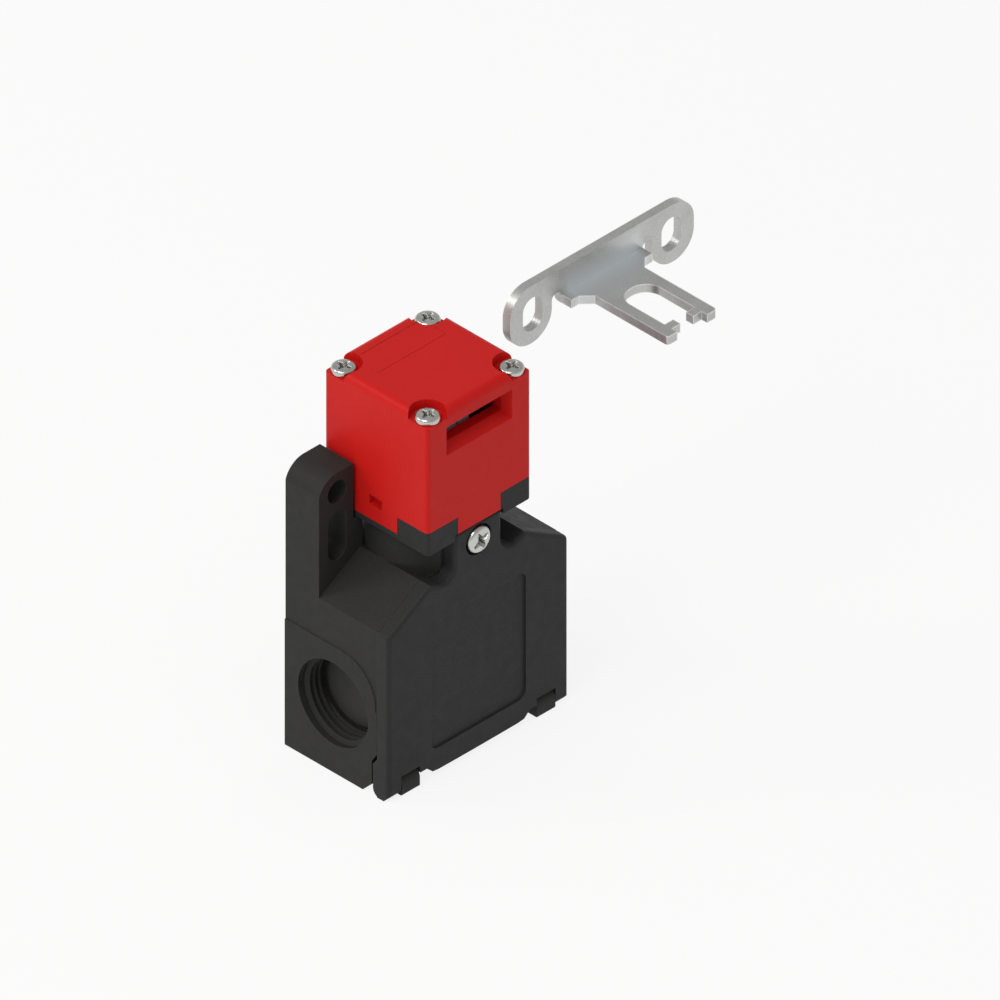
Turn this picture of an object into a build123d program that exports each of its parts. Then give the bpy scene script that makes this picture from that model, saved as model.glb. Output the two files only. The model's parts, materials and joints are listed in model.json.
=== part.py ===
"""Safety interlock switch with a separate actuator key.

Millimetres, +Z up, X along the cover, Y from the cover (front, -Y) to the mounting face (rear, +Y).
The origin is the centre of the bottom face of the housing.
"""
import os
from math import cos, radians, sin

from build123d import *

# General clearances
fit_gap = 0.1               # between pieces that are put together
seam_gap = 0.1              # between the cover and the housing
running_gap = 0.05          # round pins and shafts that turn
press_gap = 0.02            # round screws and bushes that are fast
over = 1.0                  # how far a cutter reaches past the surface it opens

# Housing: overall block, wall and shoulders
body_width = 52.0
body_depth = 30.0
saddle_height = 46.8        # low place of the top, between the shoulder and the tongue
shoulder_drop = 5.9         # from there down to where the slope meets the side
kink_rise = 1.4             # from there up to the kink at the inner end of the slope
kink_half = 13.7
saddle_half = 10.2
cavity_half = 16.8
cavity_floor = 8.0
cavity_round = 3.0
top_wall = 4.8
back_wall = 3.0
edge_round = 1.0

# Gasket between the housing and the cover
groove_outer = 2.1
groove_inner = 0.7
groove_depth = 1.1

# Cover: a hinged front plate with a screw tongue
cover_thick = 3.3
cover_low_mid = 1.0         # its lower edge is bowed
cover_low_side = 1.8
shoulder_round = 1.2
tongue_half = 6.8
tongue_rise = 10.65         # above the saddle
tongue_root_round = 3.0
label_half = 13.7
label_low = 7.0
label_margin = 8.2          # below the saddle
label_depth = 0.5
label_round = 2.0
cover_pocket_depth = 1.3
cover_pocket_gap = 0.3
cover_screw_drop = 4.2      # below the top of the tongue
cover_screw_head = 6.35
cover_screw_high = 2.3
cover_screw_shank = 3.5
counterbore = 7.3
counterbore_depth = 1.4
screw_reach = 5.0           # how far the cover screw enters the housing
screw_swing_gap = 0.45      # room that the screw needs while the cover swings
screw_tip_gap = 0.6
crown_round = 0.9           # on the heads of the screws
tip_chamfer = 0.5
cross_long = 3.4
cross_wide = 0.75
cross_depth = 1.3

# Cover hinge at the foot
hinge_height = 2.35
hinge_setback = 2.2         # behind the front of the cover
hinge_pin = 1.6
pin_inset = 0.6             # behind the side of the foot
lug_radius = 2.3
lug_inner = 17.0
lug_outer = 22.1
lug_root = 4.0
lug_corner = 0.6            # lower front corner, the rest is round about the pin
lug_top_gap = 0.35
lug_side_gap = 0.25
tab_half = 14.9             # the lower edge of the cover steps up beside the lug
tab_rise = 3.3
window_inner = 13.2
under_room = 4.6            # room behind the lower edge of the cover while it swings

# Feet of the cover, outside the lugs, and the room they swing in
foot_inner = 22.3
foot_depth = 4.5
foot_top = 9.5
foot_shoulder = 7.9
foot_sole = 2.4
foot_heel = 2.1
toe_rise = 1.6
toe_setback = 1.4
room_reach = 8.4
room_depth = 4.87
room_knee = 2.67
room_shoulder = 8.4
room_top = 10.8

# Conduit entries in both sides
conduit_bore = 20.2
conduit_depth = 7.3
conduit_height = 17.2
conduit_setback = 16.0      # behind the front of the cover
boss_top = 31.4
boss_round = 9.5
boss_front = 3.9            # behind the front of the cover
boss_relief = 0.25

# Mounting ears behind the head
ear_head_gap = 0.85         # between the ear and the head
ear_rise = 23.2             # above the saddle
ear_round = 5.5
ear_thick = 9.65
ear_hole = 5.4
ear_hole_shift = 0.4        # inward from the middle of the ear
ear_hole_drop = 4.8         # below the top of the ear
ear_slot_drop = 15.7
ear_slot_run = 6.7
ear_root = 6.0              # how deep its sketch reaches into the block
web_inner = 13.2            # web between the ear and the neck, under the flange

# Neck that carries the turning head
neck_radius = 13.6
neck_rise = 9.4             # above the saddle
neck_root = 4.0
spigot_radius = 9.0
spigot_rise = 3.2
bush_radius = 5.0
bush_drop = 1.0             # below the top of the neck
seal_high = 1.9

# Head: black flange below, red housing above
head_side = 29.9
head_setback = 14.7         # its middle, behind the front of the cover
flange_thick = 5.7
skirt_half = 6.2
skirt_lift = 1.45           # above the top of the neck
skirt_thick = 2.2
head_rise = 28.3            # from the flange to the top
crown = 2.2                 # the top stands this high above the seats of the screws
head_round = 1.9
tongue_gap = 0.2
plunger_room = 0.5
head_screw_inset = 2.85
head_screw_head = 5.4
head_screw_high = 2.1
head_screw_shank = 2.9
head_screw_end = 2.0        # above the top of the neck
small_cross_long = 2.7
small_cross_wide = 0.6
small_cross_depth = 1.1
recess_radius = 4.0
slot_mouth_half = 9.5
slot_mouth_drop = 4.1       # below the top of the head
slot_mouth_tall = 7.2
slot_half = 8.5
slot_lip_low = 1.5
slot_lip_high = 1.3
funnel_depth = 2.3
head_wall = 4.6
frame_cavity_half = 10.8
roof_gap = 0.8
plug_lip = 0.3
plug_root = 2.2
latch_setback = 14.8        # behind the front of the cover
latch_rise = 0.6            # above the flange
latch_long = 3.7
latch_tall = 2.4
latch_depth = 1.6

# Drum that the key turns, in its cradle
drum_drop = 15.6            # its axis below the top of the head
drum_radius = 8.6
drum_half = 8.3
drum_shaft = 3.0
shaft_end_gap = 0.3
insert_radius = 9.7
insert_root = 5.0
insert_half = 3.4
insert_slit = 0.3
insert_start = 76           # degrees from the rear, turning upward
insert_sweep = 128
cam_start = -95
cam_middle = -60
cam_end = -30
cam_stop = 5
cam_middle_radius = 7.25
cam_low_radius = 6.0
pocket_angle = 128
pocket_turn = 38
pocket_wide = 3.4
pocket_deep = 4.4
pocket_span = 2.6
pocket_wall = 1.0
cheek_thick = 1.9
cheek_round = 4.6
ring_thick = 1.8

# Plunger and its carrier
plunger_diameter = 6.0
plunger_tip = 1.8
collar_low = 0.4            # above the flange
collar_high = 1.8
carrier_half = 3.6
carrier_depth = 5.6
carrier_rise = 2.0          # above the chamber
carrier_foot = 8.0          # above the foot of the contact block
carrier_gap = 0.4
plunger_travel = 2.4

# Contact block, bridge and terminals
block_half = 15.5
block_lift = 4.0            # above the floor of the chamber
block_headroom = 2.0
block_front = 13.0          # behind the front of the cover
block_round = 1.5
block_floor = 1.0
channel_gap = 0.3
bridge_drop = 10.0          # below the top of the block
bridge_thick = 0.8
bridge_half = 10.0
bridge_depth = 3.0
bridge_round = 0.8
bridge_gap = 0.4
spring_room = 3.6
chamber_half = 11.5
chamber_below = 1.6         # from the bridge
chamber_above = 4.9
terminal_x = 11.5
terminal_drop = 3.0         # below the top of the block
terminal_shift = 0.2        # above the middle of the lower plate
terminal_plate = 1.0
terminal_half = 3.4
plate_margin = 0.2
plate_gap = 0.25            # below the block screws
upper_arm_lift = 3.3        # above the foot of the bridge
arm_thick = 1.0
arm_depth = 4.2
arm_span = 6.0
arm_inset = 0.6
lower_arm_span = 3.7
lower_arm_wide = 1.2
wire_thick = 0.7
return_spring_radius = 2.2
bridge_spring_radius = 1.2
clamp_wide = 6.0
clamp_tall = 5.4
clamp_thick = 0.8
terminal_head = 5.2
terminal_head_high = 1.7
terminal_shank = 3.0
terminal_reach = 6.5
driver_long = 3.2
driver_wide = 0.6
driver_depth = 0.9
block_screw_drop = 1.65     # below the chamber of the bridge
block_screw_head = 3.8
block_screw_high = 1.3
block_screw_shank = 2.4
block_screw_hole = 2.6
pilot = 2.5
pilot_depth = 2.2
pilot_gap = 0.2

# Actuator key
key_thick = 2.1
key_standoff = 2.05         # it stands clear of the housing, to its right
key_plate_setback = 19.0    # front face of its plate, behind the front of the cover
key_length = 53.1
key_tall = 14.3
key_rise = 6.4              # above the blade
key_corner = 6.0
key_hole_inset = 6.55
key_hole = 5.6
key_hole_run = 2.5
key_lobe = 12.1
key_notch_rise = 1.0        # the notches beside the blade end this high above it
key_notch_round = 1.2
blade_lift = 0.9            # top of the blade above the middle of the slot
blade_side_gap = 1.4
blade_tip_reach = 7.1       # in front of the cover
blade_tip_round = 0.8
blade_root_half = 11.7
blade_root_front = 16.1
blade_neck_wide = 2.4
blade_neck_long = 2.3
bend_round = 1.2            # inside of the bend is sharp, its outside round
window_half = 4.3
window_round = 4.0
window_rear = 10.5
window_front = -3.4
hook_half = 1.85
hook_front = -5.5

# Worked out from the above
front = -body_depth / 2
rear = body_depth / 2
half_width = body_width / 2
seam = front + cover_thick + seam_gap
shoulder_foot = saddle_height - shoulder_drop
shoulder_top = saddle_height + kink_rise
cavity_top = saddle_height - top_wall
cavity_tall = cavity_top - cavity_floor
cavity_mid = (cavity_floor + cavity_top) / 2
cavity_rear = rear - back_wall
conduit_y = front + conduit_setback
hinge_y = front + hinge_setback
lug_window_top = hinge_height + lug_radius + lug_top_gap
label_high = saddle_height - label_margin
tongue_top = saddle_height + tongue_rise
cover_screw_height = tongue_top - cover_screw_drop
ear_inner = head_side / 2 + ear_head_gap
ear_hole_x = (ear_inner + half_width) / 2 - ear_hole_shift
ear_front = rear - ear_thick
ear_foot = saddle_height - ear_root
ear_top = saddle_height + ear_rise
ear_hole_height = ear_top - ear_hole_drop
ear_slot_height = ear_top - ear_slot_drop
neck_top = saddle_height + neck_rise
head_y = front + head_setback
head_half = head_side / 2
flange_top = neck_top + flange_thick
skirt_low = neck_top + skirt_lift
head_top = flange_top + head_rise
pad_height = head_top - crown
screw_half = head_half - head_screw_inset
slot_mouth_high = head_top - slot_mouth_drop
slot_mouth_low = slot_mouth_high - slot_mouth_tall
slot_high = slot_mouth_high - slot_lip_high
slot_low = slot_mouth_low + slot_lip_low
slot_mid = (slot_low + slot_high) / 2
drum_height = head_top - drum_drop
plug_y = head_y + slot_mid - drum_height
cheek_inner = frame_cavity_half - fit_gap - cheek_thick
tip_height = drum_height - drum_radius - running_gap
block_y = front + block_front
block_low = cavity_floor + block_lift
block_high = cavity_top - block_headroom
carrier_low = block_low + carrier_foot
carrier_top = cavity_top + carrier_rise
bridge_height = block_high - bridge_drop
chamber_low = bridge_height - chamber_below
chamber_high = bridge_height + chamber_above
terminal_upper = block_high - terminal_drop
face_y = block_y - terminal_plate
channel_rear = head_y + carrier_depth / 2 + channel_gap
block_screw_height = chamber_low - block_screw_drop
lower_plate_top = block_screw_height - block_screw_head / 2 - plate_gap
terminal_lower = (block_low + lower_plate_top) / 2 + terminal_shift
key_x = half_width + key_standoff + key_length / 2
key_hole_x = key_length / 2 - key_hole_inset
plate_y = front + key_plate_setback
blade_top = slot_mid + blade_lift
blade_half = slot_half - blade_side_gap
key_high = blade_top + key_rise
key_mid = key_high - key_tall / 2
key_notch = key_length / 2 - key_lobe - blade_root_half

ear_holes = [(side * ear_hole_x, ear_hole_height) for side in (-1, 1)]
ear_slots = [(side * ear_hole_x, ear_slot_height) for side in (-1, 1)]
block_screw_places = [(side * terminal_x, block_screw_height) for side in (-1, 1)]
terminal_places = [(side * terminal_x, z) for side in (-1, 1) for z in (terminal_upper, terminal_lower)]

upright = (Align.CENTER, Align.CENTER, Align.MIN)
hanging = (Align.CENTER, Align.CENTER, Align.MAX)

os.makedirs("parts", exist_ok=True)


def at_y(y):
    """Sketch plane that faces forward (-Y): its x is X and its y is Z."""
    return Plane(origin=(0, y, 0), x_dir=(1, 0, 0), z_dir=(0, -1, 0))


def at_x(x):
    """Sketch plane that faces +X: its x is Y and its y is Z."""
    return Plane(origin=(x, 0, 0), x_dir=(0, 1, 0), z_dir=(1, 0, 0))


def save(piece, name):
    """Label a finished piece and write its file."""
    piece.label = name
    export_step(piece, f"parts/{name}.step")


# Housing: block with shoulders, ears, neck, hinge lugs, chamber and two conduit entries
with BuildPart() as base:
    with BuildSketch(at_y(seam)):
        with BuildLine():
            Polyline(
                (half_width, 0),
                (half_width, shoulder_foot),
                (kink_half, shoulder_top),
                (saddle_half, saddle_height),
                (-saddle_half, saddle_height),
                (-kink_half, shoulder_top),
                (-half_width, shoulder_foot),
                (-half_width, 0),
                close=True,
            )
        make_face()
    extrude(amount=-(rear - seam))
    for side in (-1, 1):
        outer = side * half_width
        inner = side * ear_inner
        with BuildSketch(at_y(ear_front)):
            with BuildLine():
                Polyline(
                    (inner, ear_foot),
                    (inner, ear_top),
                    (outer - side * ear_round, ear_top),
                )
                RadiusArc((outer - side * ear_round, ear_top), (outer, ear_top - ear_round), side * ear_round)
                Polyline(
                    (outer, ear_top - ear_round),
                    (outer, shoulder_foot - ear_root),
                    (inner, ear_foot),
                )
            make_face()
        extrude(amount=-ear_thick)
        # Web that joins the ear to the neck, under the flange of the head
        with BuildSketch(at_y(ear_front)):
            with Locations((side * (web_inner + ear_inner + over) / 2, ear_foot)):
                Rectangle(
                    ear_inner + over - web_inner,
                    neck_top - seam_gap - ear_foot,
                    align=(Align.CENTER, Align.MIN),
                )
        extrude(amount=-ear_thick)
    with Locations((0, head_y, saddle_height - neck_root)):
        Cylinder(neck_radius, neck_rise + neck_root, align=upright)
    with Locations((0, head_y, neck_top)):
        Cylinder(spigot_radius, spigot_rise, align=upright)
    # The neck is flat where the tongue of the cover stands against it
    with Locations((0, seam, cavity_top)):
        Box(
            body_width,
            body_depth,
            neck_top,
            align=(Align.CENTER, Align.MAX, Align.MIN),
            mode=Mode.SUBTRACT,
        )
    # Chamber for the contacts, open to the front
    with BuildSketch(at_y(seam)):
        with Locations((0, cavity_mid)):
            RectangleRounded(2 * cavity_half, cavity_tall, cavity_round)
    extrude(amount=-(cavity_rear - seam), mode=Mode.SUBTRACT)
    # Conduit entries, each ending at a thin wall that is knocked out for the cable
    for side in (-1, 1):
        with Locations(Location((side * half_width, conduit_y, conduit_height), (0, side * 90, 0))):
            Cylinder(conduit_bore / 2, conduit_depth, align=hanging, mode=Mode.SUBTRACT)
        # Side wall and ear above the conduit boss, a little lower than the boss
        with BuildSketch(at_x(side * half_width)):
            with BuildLine():
                Polyline(
                    (rear, ear_top + over),
                    (seam, ear_top + over),
                    (seam, boss_top - boss_round - over),
                    (front + boss_front, boss_top - boss_round - over),
                    (front + boss_front, boss_top - boss_round),
                )
                RadiusArc(
                    (front + boss_front, boss_top - boss_round),
                    (front + boss_front + boss_round, boss_top),
                    boss_round,
                )
                Polyline(
                    (front + boss_front + boss_round, boss_top),
                    (rear, boss_top),
                    (rear, ear_top + over),
                )
            make_face()
        extrude(amount=-side * boss_relief, mode=Mode.SUBTRACT)
        # Room for the foot of the cover to swing
        with BuildSketch(at_x(side * (foot_inner - 2 * fit_gap))):
            with BuildLine():
                Polyline(
                    (front, -over),
                    (front + room_reach, -over),
                    (front + room_depth, room_knee),
                    (front + room_depth, room_shoulder),
                    (front + cover_thick, room_top),
                    (front, room_top),
                    close=True,
                )
            make_face()
        extrude(amount=side * half_width, mode=Mode.SUBTRACT)
    with BuildSketch(at_x(-lug_inner)):
        with Locations((front, -over)):
            Rectangle(under_room, under_room + over, align=(Align.MIN, Align.MIN))
    extrude(amount=2 * lug_inner, mode=Mode.SUBTRACT)
    # Hinge lugs reach forward under the cover
    for side in (-1, 1):
        with BuildSketch(at_x(side * lug_inner)) as lug:
            with Locations((hinge_y, hinge_height)):
                Circle(lug_radius)
                Rectangle(lug_root, 2 * lug_radius, align=(Align.MIN, Align.CENTER))
                Rectangle(lug_radius, lug_radius, align=(Align.MAX, Align.MAX))
            lug_toe = lug.vertices().filter_by(
                lambda v: v.X < hinge_y - 0.9 * lug_radius and v.Y < hinge_height - 0.9 * lug_radius
            )
            fillet(lug_toe, radius=lug_corner)
        extrude(amount=side * (lug_outer - lug_inner))
        with BuildSketch(at_x(side * lug_inner)):
            with Locations((hinge_y, hinge_height)):
                Circle(hinge_pin / 2 + running_gap)
        extrude(amount=side * (lug_outer - lug_inner), mode=Mode.SUBTRACT)
    # Bore for the plunger bush, hole for the cover screw, and the holes of the ears
    with Locations((0, head_y, cavity_top - over)):
        Cylinder(bush_radius + press_gap, neck_top, align=upright, mode=Mode.SUBTRACT)
    with BuildSketch(at_y(seam)):
        with Locations((0, cover_screw_height)):
            Circle(cover_screw_shank / 2 + screw_swing_gap)
    extrude(amount=-(screw_reach + screw_tip_gap), mode=Mode.SUBTRACT)
    with BuildSketch(at_y(ear_front)):
        with Locations(*ear_holes):
            Circle(ear_hole / 2)
        with Locations(*ear_slots):
            SlotCenterToCenter(ear_slot_run, ear_hole, rotation=90)
    extrude(amount=-ear_thick, mode=Mode.SUBTRACT)
    # Groove for the gasket
    with BuildSketch(at_y(seam)):
        with Locations((0, cavity_mid)):
            RectangleRounded(
                2 * (cavity_half + groove_outer),
                cavity_tall + 2 * groove_outer,
                cavity_round + groove_outer,
            )
            RectangleRounded(
                2 * (cavity_half + groove_inner),
                cavity_tall + 2 * groove_inner,
                cavity_round + groove_inner,
                mode=Mode.SUBTRACT,
            )
    extrude(amount=-groove_depth, mode=Mode.SUBTRACT)
    # Pilot holes of the two screws that hold the contact block
    with BuildSketch(at_y(cavity_rear)):
        with Locations(*block_screw_places):
            Circle(pilot / 2)
    extrude(amount=-pilot_depth, mode=Mode.SUBTRACT)

save(base.part, "base_housing")

# Gasket in the groove of the housing
with BuildPart() as gasket:
    gasket_outer = groove_outer - fit_gap
    gasket_inner = groove_inner + fit_gap
    with BuildSketch(at_y(seam)):
        with Locations((0, cavity_mid)):
            RectangleRounded(
                2 * (cavity_half + gasket_outer),
                cavity_tall + 2 * gasket_outer,
                cavity_round + gasket_outer,
            )
            RectangleRounded(
                2 * (cavity_half + gasket_inner),
                cavity_tall + 2 * gasket_inner,
                cavity_round + gasket_inner,
                mode=Mode.SUBTRACT,
            )
    extrude(amount=-groove_depth)

save(gasket.part, "cover_gasket")

# Cover: plate with a tongue for its screw, feet beside the hinge lugs and a bowed lower edge
with BuildPart() as cover:
    with BuildSketch(at_y(front)) as cover_outline:
        with BuildLine():
            ThreePointArc((-window_inner, cover_low_side), (0, cover_low_mid), (window_inner, cover_low_side))
            Polyline(
                (window_inner, cover_low_side),
                (tab_half, tab_rise),
                (lug_inner - lug_side_gap, tab_rise),
                (lug_inner - lug_side_gap, lug_window_top),
                (foot_inner, lug_window_top),
                (foot_inner, 0),
                (half_width, 0),
                (half_width, shoulder_foot),
                (kink_half, shoulder_top),
                (saddle_half, saddle_height),
                (tongue_half, saddle_height),
                (tongue_half, tongue_top),
                (-tongue_half, tongue_top),
                (-tongue_half, saddle_height),
                (-saddle_half, saddle_height),
                (-kink_half, shoulder_top),
                (-half_width, shoulder_foot),
                (-half_width, 0),
                (-foot_inner, 0),
                (-foot_inner, lug_window_top),
                (-lug_inner + lug_side_gap, lug_window_top),
                (-lug_inner + lug_side_gap, tab_rise),
                (-tab_half, tab_rise),
                (-window_inner, cover_low_side),
            )
        make_face()
        roots = cover_outline.vertices().filter_by(
            lambda v: abs(abs(v.X) - tongue_half) < 0.01 and abs(v.Y - saddle_height) < 0.01
        )
        fillet(roots, radius=tongue_root_round)
        shoulders = cover_outline.vertices().filter_by(
            lambda v: abs(abs(v.X) - half_width) < 0.01 and v.Y > foot_top
        )
        fillet(shoulders, radius=shoulder_round)
    extrude(amount=-cover_thick)
    # Feet are thicker than the plate, round about the hinge
    for side in (-1, 1):
        with BuildSketch(at_x(side * foot_inner)):
            with BuildLine():
                Polyline(
                    (front, foot_top),
                    (front, toe_rise),
                    (front + toe_setback, 0),
                    (front + foot_sole, 0),
                )
                RadiusArc((front + foot_sole, 0), (front + foot_depth, foot_heel), -foot_heel)
                Polyline(
                    (front + foot_depth, foot_heel),
                    (front + foot_depth, foot_shoulder),
                    (front + cover_thick, foot_top),
                    (front, foot_top),
                )
            make_face()
        extrude(amount=side * (half_width - foot_inner))
    # Toes are bevelled
    with BuildSketch(at_x(-half_width)):
        with BuildLine():
            Polyline((front, toe_rise), (front, 0), (front + toe_setback, 0), close=True)
        make_face()
    extrude(amount=body_width, mode=Mode.SUBTRACT)
    front_edges = (
        cover.faces().sort_by(Axis.Y)[0].outer_wire().edges().filter_by(lambda e: e.center().Z > label_low)
    )
    fillet(front_edges, radius=edge_round)
    with BuildSketch(at_y(front)):
        with Locations((0, (label_low + label_high) / 2)):
            RectangleRounded(2 * label_half, label_high - label_low, label_round)
    extrude(amount=-label_depth, mode=Mode.SUBTRACT)
    with BuildSketch(at_y(front + cover_thick)):
        with Locations((0, cavity_mid)):
            RectangleRounded(
                2 * (cavity_half - cover_pocket_gap),
                cavity_tall - 2 * cover_pocket_gap,
                cavity_round,
            )
    extrude(amount=cover_pocket_depth, mode=Mode.SUBTRACT)
    with BuildSketch(at_y(front)):
        with Locations((0, cover_screw_height)):
            Circle(counterbore / 2)
    extrude(amount=-counterbore_depth, mode=Mode.SUBTRACT)
    with BuildSketch(at_y(front)):
        with Locations((0, cover_screw_height)):
            Circle(cover_screw_shank / 2 + press_gap)
    extrude(amount=-cover_thick, mode=Mode.SUBTRACT)
    for side in (-1, 1):
        with BuildSketch(at_x(side * foot_inner)):
            with Locations((hinge_y, hinge_height)):
                Circle(hinge_pin / 2)
        extrude(amount=side * (half_width - pin_inset - foot_inner), mode=Mode.SUBTRACT)

save(cover.part, "front_cover")

# Cover screw, held captive in the tongue
with BuildPart() as cover_screw:
    seat_y = front + counterbore_depth
    with BuildSketch(at_y(seat_y)):
        with Locations((0, cover_screw_height)):
            Circle(cover_screw_head / 2)
    extrude(amount=cover_screw_high)
    fillet(cover_screw.edges().group_by(Axis.Y)[0], radius=crown_round)
    with BuildSketch(at_y(seat_y)):
        with Locations((0, cover_screw_height)):
            Circle(cover_screw_shank / 2)
    extrude(amount=-(seam - seat_y + screw_reach))
    chamfer(cover_screw.edges().group_by(Axis.Y)[-1], length=tip_chamfer)
    with BuildSketch(at_y(seat_y - cover_screw_high)):
        with Locations((0, cover_screw_height)):
            Rectangle(cross_long, cross_wide)
            Rectangle(cross_wide, cross_long)
    extrude(amount=-cross_depth, taper=12, mode=Mode.SUBTRACT)

save(cover_screw.part, "cover_screw")

# Hinge pins, fast in the feet of the cover and free in the lugs
with BuildPart() as pins:
    for side in (-1, 1):
        with BuildSketch(at_x(side * (lug_inner + fit_gap))):
            with Locations((hinge_y, hinge_height)):
                Circle(hinge_pin / 2)
        extrude(amount=side * (half_width - pin_inset - lug_inner - fit_gap))

save(pins.part, "hinge_pins")

# Flange below the head, with four corner posts and a notch for the cover's tongue
with BuildPart() as flange:
    with Locations((0, head_y, neck_top)):
        Box(head_side, head_side, flange_thick, align=upright)
    fillet(flange.edges().filter_by(Axis.Z), radius=edge_round)
    with Locations((0, head_y, skirt_low)):
        with PolarLocations(head_half, 4):
            Box(2 * skirt_thick, 2 * skirt_half, flange_top - skirt_low, align=upright, mode=Mode.SUBTRACT)
    with Locations((0, front, neck_top)):
        Box(
            2 * (tongue_half + tongue_gap),
            2 * (cover_thick + seam_gap),
            skirt_low - neck_top,
            align=upright,
            mode=Mode.SUBTRACT,
        )
    with Locations((0, head_y, neck_top)):
        Cylinder(spigot_radius + fit_gap, spigot_rise + fit_gap, align=upright, mode=Mode.SUBTRACT)
        Cylinder(plunger_diameter / 2 + plunger_room, flange_top, align=upright, mode=Mode.SUBTRACT)
    with Locations((0, head_y, neck_top + head_screw_end - over)):
        with GridLocations(2 * screw_half, 2 * screw_half, 2, 2):
            Cylinder(head_screw_shank / 2 + press_gap, flange_top, align=upright, mode=Mode.SUBTRACT)

save(flange.part, "head_flange")

# Red head housing, open below, with the key slot in front and a plugged one on top
with BuildPart() as head:
    with Locations((0, head_y, flange_top)):
        Box(head_side, head_side, head_rise, align=upright)
    fillet(head.edges().filter_by(Axis.Z), radius=edge_round)
    fillet(head.edges().group_by(Axis.Z)[-1], radius=head_round)
    with Locations((0, head_y, skirt_low + seam_gap)):
        with PolarLocations(head_half - skirt_thick / 2 + fit_gap / 2, 4):
            Box(skirt_thick - fit_gap, 2 * skirt_half - fit_gap, flange_top - skirt_low, align=upright)
    # Round seats for the four corner screws
    with Locations((0, head_y, pad_height)):
        with GridLocations(2 * screw_half, 2 * screw_half, 2, 2):
            Cylinder(recess_radius, head_top, align=upright, mode=Mode.SUBTRACT)
    with Locations((0, head_y, flange_top - over)):
        with GridLocations(2 * screw_half, 2 * screw_half, 2, 2):
            Cylinder(head_screw_shank / 2 + fit_gap, head_top, align=upright, mode=Mode.SUBTRACT)
    # Chamber of the drum
    with Locations((0, head_y, skirt_low)):
        Box(
            2 * frame_cavity_half,
            head_side - 2 * head_wall,
            slot_high + roof_gap - skirt_low,
            align=upright,
            mode=Mode.SUBTRACT,
        )
    # Key slot with a funnel mouth
    with BuildSketch(at_y(head_y - head_half)):
        with Locations((0, (slot_mouth_low + slot_mouth_high) / 2)):
            Rectangle(2 * slot_mouth_half, slot_mouth_tall)
    with BuildSketch(at_y(head_y - head_half + funnel_depth)):
        with Locations((0, slot_mid)):
            Rectangle(2 * slot_half, slot_high - slot_low)
    loft(mode=Mode.SUBTRACT)
    with BuildSketch(at_y(head_y - head_half)):
        with Locations((0, slot_mid)):
            Rectangle(2 * slot_half, slot_high - slot_low)
    extrude(amount=-(head_wall + over), mode=Mode.SUBTRACT)
    # The same slot on top, which is plugged
    with Locations((0, plug_y, pad_height + fit_gap)):
        Box(2 * (slot_mouth_half + plug_lip), slot_mouth_tall, head_top, align=upright, mode=Mode.SUBTRACT)
    with Locations((0, plug_y, slot_high)):
        Box(2 * slot_half, slot_high - slot_low, head_top, align=upright, mode=Mode.SUBTRACT)
    # Small latch window low on the left side
    with Locations((-head_half, front + latch_setback, flange_top + latch_rise)):
        Box(2 * latch_depth, latch_long, latch_tall, mode=Mode.SUBTRACT)

save(head.part, "head_housing")

# Blanking plug of the unused slot
with BuildPart() as plug:
    with Locations((0, plug_y, pad_height + fit_gap)):
        Box(
            2 * (slot_mouth_half + plug_lip - fit_gap),
            slot_mouth_tall - 2 * fit_gap,
            crown - fit_gap,
            align=upright,
        )
        Box(
            2 * (slot_half - fit_gap),
            slot_high - slot_low - 2 * fit_gap,
            plug_root,
            align=hanging,
        )
    with Locations((0, head_y, pad_height)):
        with GridLocations(2 * screw_half, 2 * screw_half, 2, 2):
            Cylinder(recess_radius, head_top, align=upright, mode=Mode.SUBTRACT)

save(plug.part, "slot_plug")

# Four head screws, through the head into the flange
with BuildPart() as head_screws:
    with Locations((0, head_y, pad_height)):
        with GridLocations(2 * screw_half, 2 * screw_half, 2, 2):
            Cylinder(head_screw_head / 2, head_screw_high, align=upright)
    fillet(head_screws.edges().group_by(Axis.Z)[-1], radius=crown_round)
    with Locations((0, head_y, neck_top + head_screw_end)):
        with GridLocations(2 * screw_half, 2 * screw_half, 2, 2):
            Cylinder(head_screw_shank / 2, pad_height - neck_top - head_screw_end, align=upright)
    with Locations((0, head_y, pad_height + head_screw_high)):
        with GridLocations(2 * screw_half, 2 * screw_half, 2, 2):
            Box(small_cross_long, small_cross_wide, 2 * small_cross_depth, mode=Mode.SUBTRACT)
            Box(small_cross_wide, small_cross_long, 2 * small_cross_depth, mode=Mode.SUBTRACT)

save(head_screws.part, "head_screws")

# Frame inside the head: two cheeks on a ring that carry the drum shaft
with BuildPart() as cradle:
    for side in (-1, 1):
        with BuildSketch(at_x(side * cheek_inner)):
            with Locations((head_y, drum_height)):
                Circle(cheek_round)
            with Locations((head_y, flange_top)):
                Rectangle(2 * cheek_round, drum_height - flange_top, align=(Align.CENTER, Align.MIN))
            with Locations((head_y, drum_height)):
                Circle(drum_shaft / 2 + press_gap, mode=Mode.SUBTRACT)
        extrude(amount=side * cheek_thick)
    with Locations((0, head_y, flange_top)):
        Box(2 * (frame_cavity_half - fit_gap), 2 * cheek_round, ring_thick, align=upright)
        Cylinder(plunger_diameter / 2 + plunger_room, 3 * ring_thick, mode=Mode.SUBTRACT)

save(cradle.part, "drum_cradle")


def on_drum(angle, radius):
    """Point on the drum's section: angle in degrees from the rear, turning upward."""
    return (head_y + radius * cos(radians(angle)), drum_height + radius * sin(radians(angle)))


def ring_sector(inner, outer, start, sweep):
    """Outline of a piece of a ring about the drum's axis, for a sketch."""
    CenterArc((head_y, drum_height), inner, start, sweep)
    CenterArc((head_y, drum_height), outer, start, sweep)
    Line(on_drum(start, inner), on_drum(start, outer))
    Line(on_drum(start + sweep, inner), on_drum(start + sweep, outer))


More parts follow.
